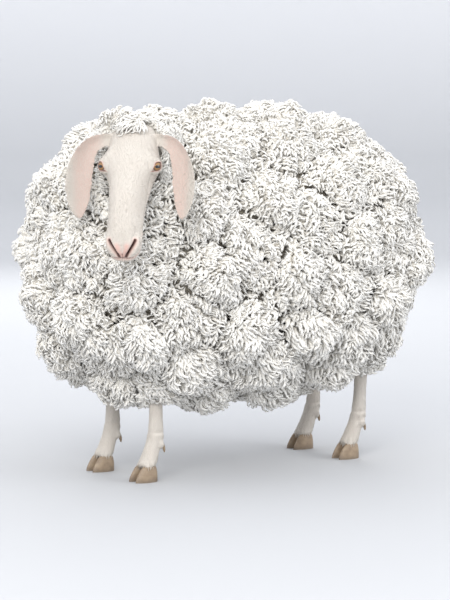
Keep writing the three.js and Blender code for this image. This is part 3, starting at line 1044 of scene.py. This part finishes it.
def hornMaterial():
    material, tree, surface = newMaterial("horn", 0.45, Specular_IOR_Level=0.45)
    patches = addBlotches(tree, hoofSet["colour"], hoofSet["second"], 70.0, 0.8)
    # darker towards the floor, below 14 mm
    nearSole = addRange(tree, addParts(tree, objectPlace(tree))["Z"], 0.014, 0.0, 0.0, 0.7)
    tree.links.new(addMix(tree, nearSole, patches, hoofSet["nearSole"]), surface["Base Color"])
    addGrain(tree, surface, 260.0, 5.0, 0.0005)
    return material


def buildHorn(name, cell, stands):
    horn = rounded(copyOf([name], name.replace("claw", "horn")), 1)
    low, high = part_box(name)
    if stands:
        # the sole is drawn down past the floor, and cut off level once the sides are smooth
        places = pointsOf(horn)
        places[:, 2] = np.where(places[:, 2] < 0.008, places[:, 2] - hoofSet["spare"], places[:, 2])
        setPoints(horn, places)
    remeshed(horn, cell, 0.5, 5)
    places = pointsOf(horn)
    ways = normalsOf(horn)
    if stands:
        middle = (low + high) / 2
        ahead = np.clip((middle.x - places[:, 0]) / (middle.x - low.x), 0.0, 1.2)
        places[:, 1] = middle.y + (places[:, 1] - middle.y) * (1.0 - hoofSet["pinch"] * ahead**1.6)
    ring = np.sin(places[:, 2] * 2 * math.pi / hoofSet["ringGap"] + 3.0 * places[:, 0] / 0.03)
    flat = unit(ways * [1, 1, 0])
    side = np.linalg.norm(ways[:, :2], axis=1)
    places += flat * (ring * hoofSet["ringDepth"] * side)[:, None]
    if not stands:
        places[:, 0] = low.x + (places[:, 0] - low.x) * hoofSet["dewLong"] - hoofSet["dewBack"]
    setPoints(horn, places)
    if stands:
        level = {"plane_co": (0, 0, 0), "plane_no": (0, 0, 1)}
        edited(horn, bpy.ops.mesh.bisect, use_fill=True, clear_inner=True, **level)
    return horn


horn = hornMaterial()
for name in clawNames + dewclawNames:
    dew = "dewclaw" in name
    piece = buildHorn(name, hoofSet["dewCell" if dew else "cell"], not dew)
    pick(piece)
    bpy.ops.object.shade_smooth_by_angle(angle=math.radians(50))
    piece.data.materials.clear()
    piece.data.materials.append(horn)
    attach(piece, "root")
    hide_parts(name)
report("claws made")

# the fleece
woolSet = {
    "spacing": 0.0070,        # between the tips of neighbouring locks
    "headSpacing": 0.0050,    # the same on the crown and near the ears, where the locks are finer
    "bunchSpacing": 0.030,    # between bunches of locks that lean together
    "together": 0.15,         # how far a lock leans to the middle of its bunch
    "thick": 0.0028,
    "flatness": 1.25,
    "curl": 0.0048,
    "turns": 1.5,
    "sink": 0.005,            # the locks' tips lie this far inside the outline
    "dip": 0.004,             # and this much more at the rim of a bunch
    "clumpGap": 0.122,        # between the tops of the big round clumps
    "clumpRound": 2.7,        # higher is flatter on top, with a steeper crease
    "crease": 0.029,          # the deepest that the wool dips between two clumps
    "creaseShare": 0.42,
    "spill": 0.6,             # how far the locks of a clump lean away from its middle
    "lie": 0.024,             # how far a lock lies over along the body
    "past": 0.006,            # how far its tip lies beyond its place, the same way
    "swing": (34.0, 18.0),    # degrees that bunches, and the locks in them, turn from that way
    "uneven": (0.0030, 0.0016),  # how much higher or lower bunches and locks stand
    "full": 0.034,            # a lock shorter than this is thinner
    "most": 4100,             # locks in one piece
}
# places along a lock, and its thickness there
lockSteps = np.array([0.0, 0.30, 0.52, 0.66, 0.78, 0.88, 0.95, 1.0])
lockTaper = np.array([0.0, 2.9, 2.2, 1.35, 1.05, 0.88, 0.6, 0.0])

woolLook = strandMaterial("wool", {
    "root": (0.965, 0.935, 0.87, 1),
    "tip": (0.985, 0.975, 0.945, 1),
    "other": (0.97, 0.95, 0.90, 1),
    # painted shade between the fibres
    "between": (0.76, 0.71, 0.62, 1),
    "around": 11.0,     # fibres round a lock
    "roughness": 0.85,
    "sheen": 0.4,
    "bump": 0.9,
})


def woolFlow(places, ways):
    # the way the wool leans: down and back on the body, down the face on the crown
    flow = np.tile([0.45, 0.0, -1.0], (len(places), 1))
    flow[:, 1] += 0.5 * np.sign(places[:, 1]) * (ways[:, 2] > 0.5)
    low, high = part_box("topknot")
    fromMiddle = np.linalg.norm(places - np.array((low + high) / 2), axis=1)
    onCrown = inBoxOf("topknot", places, 0.01) & (fromMiddle < (high - low).length * 0.42)
    flow[onCrown] = headAxis[0] * 0.8 + np.array([0.0, 0.0, -0.3])
    flow[ways[:, 2] < -0.75] = [0.8, 0.0, -0.4]  # below the belly
    return unit(flattened(flow, ways) + 1e-6)


def roundClumps():
    # the tops of the clumps are the places that stand proudest of the smoothed shell,
    # and the shell is rounded down from each of them to a crease
    outer = pointsOf(shell)
    base = shell.copy()
    base.data = shell.data.copy()
    bpy.context.scene.collection.objects.link(base)
    shape(base, "SMOOTH", factor=0.6, iterations=70)
    ways = normalsOf(base)
    proud = np.einsum("ij,ij->i", outer - pointsOf(base), ways)
    bpy.data.objects.remove(base)
    order = np.argsort(-proud, kind="stable")
    free = np.ones(len(outer), dtype=bool)
    peaks = []
    for index in order:
        if free[index]:
            peaks.append(outer[index])
            free &= ((outer - outer[index]) ** 2).sum(axis=1) > woolSet["clumpGap"] ** 2
    peaks = np.array(peaks)
    away = np.sqrt(np.sort(((outer[:, None] - peaks[None]) ** 2).sum(axis=2), axis=1)[:, :2])
    edge = 2.0 * away[:, 0] / (away[:, 0] + away[:, 1])
    down = 1.0 - np.sqrt(1.0 - np.minimum(edge, 1.0) ** woolSet["clumpRound"])
    nearHead = 1.0 - smoothStep(0.01, 0.06, np.abs(awayFrom("head", outer)))
    down *= 1.0 - 0.7 * nearHead
    # no crease goes deeper than a share of the wool that there is
    room = np.abs(nearest(skinTree, outer)[2])
    dip = np.minimum(down * woolSet["crease"], room * woolSet["creaseShare"])
    setPoints(shell, outer - ways * dip[:, None])
    shape(shell, "SMOOTH", factor=0.5, iterations=1)
    report(f"{len(peaks)} clumps")
    return peaks, ways, nearHead


def growWool(peaks, evenWays, nearHead):
    chance = np.random.default_rng(7)
    outer = pointsOf(shell)
    corners = trianglesOf(shell)
    ways = normalsOf(shell)
    fine = nearHead[corners].min(axis=1) > 0.35
    tips = np.concatenate([
        scattered(outer, corners[~fine], woolSet["spacing"], chance)[0],
        scattered(outer, corners[fine], woolSet["headSpacing"], chance)[0],
    ])
    bunches, _ = scattered(outer, corners, woolSet["bunchSpacing"], chance)
    report(f"{len(tips)} locks in {len(bunches)} bunches")
    # a smooth normal for each lock comes from the nearest corner of the shell
    finder = finderOf(outer)
    corner = np.array([finder.find(tip)[1] for tip in tips])
    normal = unit(evenWays[corner] * 0.75 + ways[corner] * 0.25)
    # none under the head or the ears, where there is no room
    clear = awayFrom("head", tips)
    keep = (clear > 0.001) | (clear < -0.03)  # far off, the sign of the distance means nothing
    tips, normal, corner = tips[keep], normal[keep], corner[keep]
    slight = 1.0 - 0.4 * smoothStep(0.2, 0.8, nearHead[corner])
    away = np.linalg.norm(tips[:, None] - peaks[None], axis=2)
    fromPeak = flattened(tips - peaks[away.argmin(axis=1)], normal)
    span = np.linalg.norm(fromPeak, axis=1, keepdims=True)
    finder = finderOf(bunches)
    own = np.array([finder.find(tip)[1] for tip in tips])
    count, total = len(tips), len(bunches)
    outwards = fromPeak / np.maximum(span, 1e-6) * woolSet["spill"] * np.clip(span / 0.045, 0.0, 1.6)
    flow = unit(woolFlow(tips, normal) + outwards)
    seek = tips - normal * skinSet["woolDepth"] - flow * woolSet["past"]
    root, _, _ = nearest(skinTree, seek)
    turnBunch, turnLock = woolSet["swing"]
    swing = np.radians(chance.normal(0.0, turnBunch, total))[own]
    swing += np.radians(chance.normal(0.0, turnLock, count))
    side = np.cross(normal, flow)
    flow = np.cos(swing)[:, None] * flow + np.sin(swing)[:, None] * side
    side = np.cross(normal, flow)
    toBunch = flattened(bunches[own] - tips, normal)
    reach = np.clip(np.linalg.norm(toBunch, axis=1) / (woolSet["bunchSpacing"] * 0.62), 0.0, 1.3)
    liftBunch, liftLock = woolSet["uneven"]
    height = chance.normal(0.0, liftBunch, total)[own] + chance.normal(0.0, liftLock, count)
    end = tips + toBunch * woolSet["together"] - normal * woolSet["sink"]
    end += normal * (height - woolSet["dip"] * reach**2)[:, None] + flow * woolSet["past"]
    lie = woolSet["lie"] * chance.uniform(0.75, 1.25, count)
    rise = np.linalg.norm(end - root, axis=1)
    lie *= np.clip(rise / 0.035, 0.4, 1.0)
    second = root + normal * (rise * 0.5)[:, None] + (end - root) * 0.1
    third = end - flow * lie[:, None] + normal * 0.004
    share = lockSteps[None, :, None]
    lines = (
        (1 - share) ** 3 * root[:, None]
        + 3 * (1 - share) ** 2 * share * second[:, None]
        + 3 * (1 - share) * share**2 * third[:, None]
        + share**3 * end[:, None]
    )
    # each lock curls round its own line, and the locks of a bunch curl alike
    phase = chance.uniform(0, 2 * math.pi, total)[own] + chance.normal(0.0, 0.8, count)
    turns = woolSet["turns"] * chance.uniform(0.8, 1.2, count)
    turns = turns * np.where(chance.random(total) < 0.5, 1, -1)[own]
    angle = phase[:, None] + 2 * math.pi * turns[:, None] * lockSteps[None]
    curl = slight[:, None] * woolSet["curl"] * chance.uniform(0.7, 1.25, count)[:, None]
    curl = curl * smoothStep(0.12, 0.7, lockSteps)[None]
    lines += (curl * np.cos(angle))[:, :, None] * side[:, None]
    lines += (curl * 0.8 * np.sin(angle))[:, :, None] * normal[:, None]
    thickness = woolSet["thick"] * chance.uniform(0.8, 1.2, count)[:, None] * lockTaper[None]
    thickness *= (np.clip(rise / woolSet["full"], 0.5, 1.0) * slight)[:, None]
    # a lock that would run through the head or an ear is left out
    free = np.ones(count, dtype=bool)
    for name, room in (("head", 0.0), ("ear_left", 0.0015), ("ear_right", 0.0015)):
        for step in (2, 4, 6, 7):
            outside = awayFrom(name, lines[:, step])
            free &= (outside > room) | (outside < -0.03)
    return root[free], lines[free], thickness[free], chance


woolRoots, woolLines, woolThick, woolChance = growWool(*roundClumps())
trunkLow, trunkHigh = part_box("trunk")
trunkMiddle = np.array((trunkLow + trunkHigh) / 2)
trunkHalves = np.array((trunkHigh - trunkLow) / 2)
woolMap = onSkinMap(woolRoots, trunkMiddle, trunkHalves)
order = np.argsort(woolRoots[:, 0], kind="stable")
pieceCount = math.ceil(len(order) / woolSet["most"])
for index, chosen in enumerate(np.array_split(order, pieceCount)):
    piece = strandPiece(
        f"fleece_{index + 1}", woolLines[chosen], woolThick[chosen], woolSet["flatness"],
        (woolChance.random(len(chosen)) * 999).astype(int), woolMap[chosen], woolLook,
    )
    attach(piece, "root")
report(f"fleece made in {pieceCount} pieces of about {len(piece.data.polygons)} triangles")

# the short hair
hairSet = {
    "faceSpacing": 0.0022,
    "legSpacing": 0.0026,
    "thick": 0.00022,
    "flatness": 3.2,
    "length": 0.0062,
    "lift": 0.0005,
    "fringe": 2.0,      # how much longer it grows over the claws
    "rooted": 0.0004,   # how deep its root is in the skin
}
hairSteps = np.array([0.0, 0.35, 0.7, 1.0])
hairTaper = np.array([0.0, 1.0, 0.7, 0.0])

hairLook = strandMaterial("shortHair", {
    "root": (0.63, 0.585, 0.525, 1),
    "tip": (0.74, 0.71, 0.66, 1),
    # painted shade between the fibres
    "other": (0.65, 0.60, 0.53, 1),
    "between": (0.58, 0.53, 0.47, 1),
    "around": 6.0,
    "roughness": 0.6,
    "sheen": 0.1,
    "bump": 0.2,
})


def hairFlow(places, ways):
    local = toHead(places)
    flow = np.tile([0.0, 0.0, -1.0], (len(places), 1))
    onHead = places[:, 2] > 0.5
    # back from the nose over the face, then down the cheeks
    back = -headAxis[0] * 0.9
    lower = smoothStep(-30.0, -90.0, local[:, 2])[:, None]
    facial = back[None] * (1 - 0.5 * lower) + np.array([0.0, 0.0, -0.8])[None] * lower
    facial = facial + headAxis[1][None] * (np.clip(local[:, 1] / 60.0, -1, 1) * 0.5)[:, None]
    flow[onHead] = facial[onHead]
    for name, side in earSides.items():
        flow[inBoxOf(name, places, 0.002) & (local[:, 1] * side > 58)] = [0.0, 0.0, -1.0]
    return unit(flattened(flow, ways) + 1e-6)


def growHair(name, test, spacing, seed, length):
    chance = np.random.default_rng(seed)
    places = pointsOf(skin)
    corners = trianglesOf(skin)
    grows = test & (outsideWool > -0.004) & (bareMark < 0.2)
    corners = corners[grows[corners].all(axis=1)]
    roots, _ = scattered(places, corners, spacing, chance)
    used = np.unique(corners)
    finder = finderOf(places, used)
    found = np.array([finder.find(root)[1] for root in roots])
    bare = pinkMark[found]
    keep = chance.random(len(roots)) > smoothStep(0.35, 0.8, bare)
    roots, found = roots[keep], found[keep]
    ways = unit(normalsOf(skin)[found])
    count = len(roots)
    flow = hairFlow(roots, ways)
    side = np.cross(ways, flow)
    swing = np.radians(chance.normal(0.0, 9.0, count))[:, None]
    flow = np.cos(swing) * flow + np.sin(swing) * side
    long = length * chance.uniform(0.7, 1.25, count) * (1.0 - 0.5 * np.clip(bare[keep] * 2.0, 0, 1))
    long *= 1.0 + (hairSet["fringe"] - 1.0) * smoothStep(0.060, 0.040, roots[:, 2])
    lift = hairSet["lift"] * chance.uniform(0.5, 1.5, count)
    rooted = hairSet["rooted"]
    rise = lift[:, None] * np.sin(hairSteps * math.pi)[None] + rooted * hairSteps[None]
    lines = (
        roots[:, None] - ways[:, None] * rooted
        + flow[:, None] * (long[:, None] * hairSteps[None])[:, :, None]
        + ways[:, None] * rise[:, :, None]
    )
    thickness = hairSet["thick"] * chance.uniform(0.8, 1.3, count)[:, None] * hairTaper[None]
    middle, halves = places[used].mean(axis=0), np.ptp(places[used], axis=0) / 2
    patches = onSkinMap(roots[:, [2, 0, 1]], middle[[2, 0, 1]], halves[[2, 0, 1]])
    piece = strandPiece(
        name, lines, thickness, hairSet["flatness"], (chance.random(count) * 999).astype(int), patches,
        hairLook, ways,
    )
    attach(piece, "root")
    report(f"{name}: {count} tufts")


skinPlaces = pointsOf(skin)
growHair("faceHair", skinPlaces[:, 2] > 0.5, hairSet["faceSpacing"], 21, hairSet["length"])
growHair("legHair", skinPlaces[:, 2] < 0.45, hairSet["legSpacing"], 22, hairSet["length"] * 1.1)

bpy.data.objects.remove(shell)
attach(skin, "root")
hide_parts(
    "trunk", "neck", "head", "topknot", "tail", "ear_left", "ear_right", *upperNames, *lowerNames
)

# floor, light and camera
studioSet = {
    "floorReach": 9.5,
    "coveHeight": 5.0,
    "azimuth": -35.0,
    "elevation": 6.0,
    "distance": 6.5,
    "viewHeight": 1.42,   # metres that the view takes in from bottom to top, at the animal
    "aimUp": 0.394,
    "aimAside": -0.019,   # from the middle of the animal, to the camera's right
    "bend": 2.0,          # the radius of the curve up into the wall
    "floor": (0.505, 0.511, 0.52, 1),
    "floorSecond": (0.49, 0.496, 0.505, 1),
    "wall": (0.93, 0.932, 0.94, 1),
    "sky": (0.93, 0.95, 1.0, 1),
    "skyStrength": 1.46,
}


def floorMaterial():
    material, tree, surface = newMaterial("paleFloor", 0.9, Specular_IOR_Level=0.1)
    patches = addBlotches(tree, studioSet["floor"], studioSet["floorSecond"], 1.2, 0.3)
    rise = addRange(tree, addParts(tree, objectPlace(tree))["Z"], 0.2, 2.0)
    tree.links.new(addMix(tree, rise, patches, studioSet["wall"]), surface["Base Color"])
    return material


def buildFloor():
    # a round floor whose rim curves up into a plain wall
    reach, bend = studioSet["floorReach"], studioSet["bend"]
    floor = added(bpy.ops.mesh.primitive_circle_add, vertices=96, radius=reach, fill_type="NGON")
    floor.name = "floor"
    bpy.ops.object.mode_set(mode="EDIT")
    bpy.ops.mesh.select_all(action="SELECT")
    bpy.ops.mesh.select_mode(type="EDGE")
    bpy.ops.mesh.region_to_loop()
    steps = 10
    turn = math.pi / 2 / steps
    for step in range(steps):
        rise = math.sin((step + 0.5) * turn) * bend * turn
        bpy.ops.mesh.extrude_edges_move(TRANSFORM_OT_translate={"value": (0, 0, rise)})
        wider = (reach + bend * math.sin((step + 1) * turn)) / (reach + bend * math.sin(step * turn))
        bpy.ops.transform.resize(value=(wider, wider, 1))
    wall = studioSet["coveHeight"] - bend
    bpy.ops.mesh.extrude_edges_move(TRANSFORM_OT_translate={"value": (0, 0, wall)})
    bpy.ops.object.mode_set(mode="OBJECT")
    bpy.ops.object.shade_smooth()
    floor.data.materials.append(floorMaterial())
    return floor


floor = buildFloor()

lightSet = {
    # place, size, power, colour
    "key": ((-3.6, -3.2, 2.9), 3.0, 150.0, (1.0, 0.985, 0.96)),
    "fill": ((3.0, -3.8, 2.0), 3.0, 70.0, (0.96, 0.975, 1.0)),
    "rim": ((2.2, 3.8, 2.4), 2.6, 60.0, (1.0, 1.0, 1.0)),
}
for name, (place, size, power, colour) in lightSet.items():
    lamp = bpy.data.lights.new(name, "AREA")
    lamp.shape = "DISK"
    lamp.size = size
    lamp.energy = power
    lamp.color = colour
    light = bpy.data.objects.new(name, lamp)
    light.location = place
    light.rotation_euler = (Vector((0, 0, 0.45)) - Vector(place)).to_track_quat("-Z", "Y").to_euler()
    bpy.context.scene.collection.objects.link(light)

world = bpy.data.worlds.new("studio")
world.use_nodes = True
sky = world.node_tree.nodes["Background"].inputs
sky["Color"].default_value = studioSet["sky"]
sky["Strength"].default_value = studioSet["skyStrength"]
bpy.context.scene.world = world
bpy.context.scene.view_settings.view_transform = "Standard"

azimuth = math.radians(studioSet["azimuth"])
elevation = math.radians(studioSet["elevation"])
back = Vector((
    math.sin(azimuth) * math.cos(elevation), -math.cos(azimuth) * math.cos(elevation), math.sin(elevation)
))
lens = bpy.data.cameras.new("camera")
lens.sensor_fit = "VERTICAL"
lens.sensor_height = 36.0
lens.lens = 36.0 * studioSet["distance"] / studioSet["viewHeight"]
lens.clip_end = 100.0
camera = bpy.data.objects.new("camera", lens)
aim = (cadBox[0] + cadBox[1]) / 2
aim += Vector((math.cos(azimuth), math.sin(azimuth), 0)) * studioSet["aimAside"]
aim.z = studioSet["aimUp"]
camera.location = aim + back * studioSet["distance"]
camera.rotation_euler = back.to_track_quat("Z", "Y").to_euler()
bpy.context.scene.collection.objects.link(camera)
bpy.context.scene.camera = camera

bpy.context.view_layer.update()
report("all set")
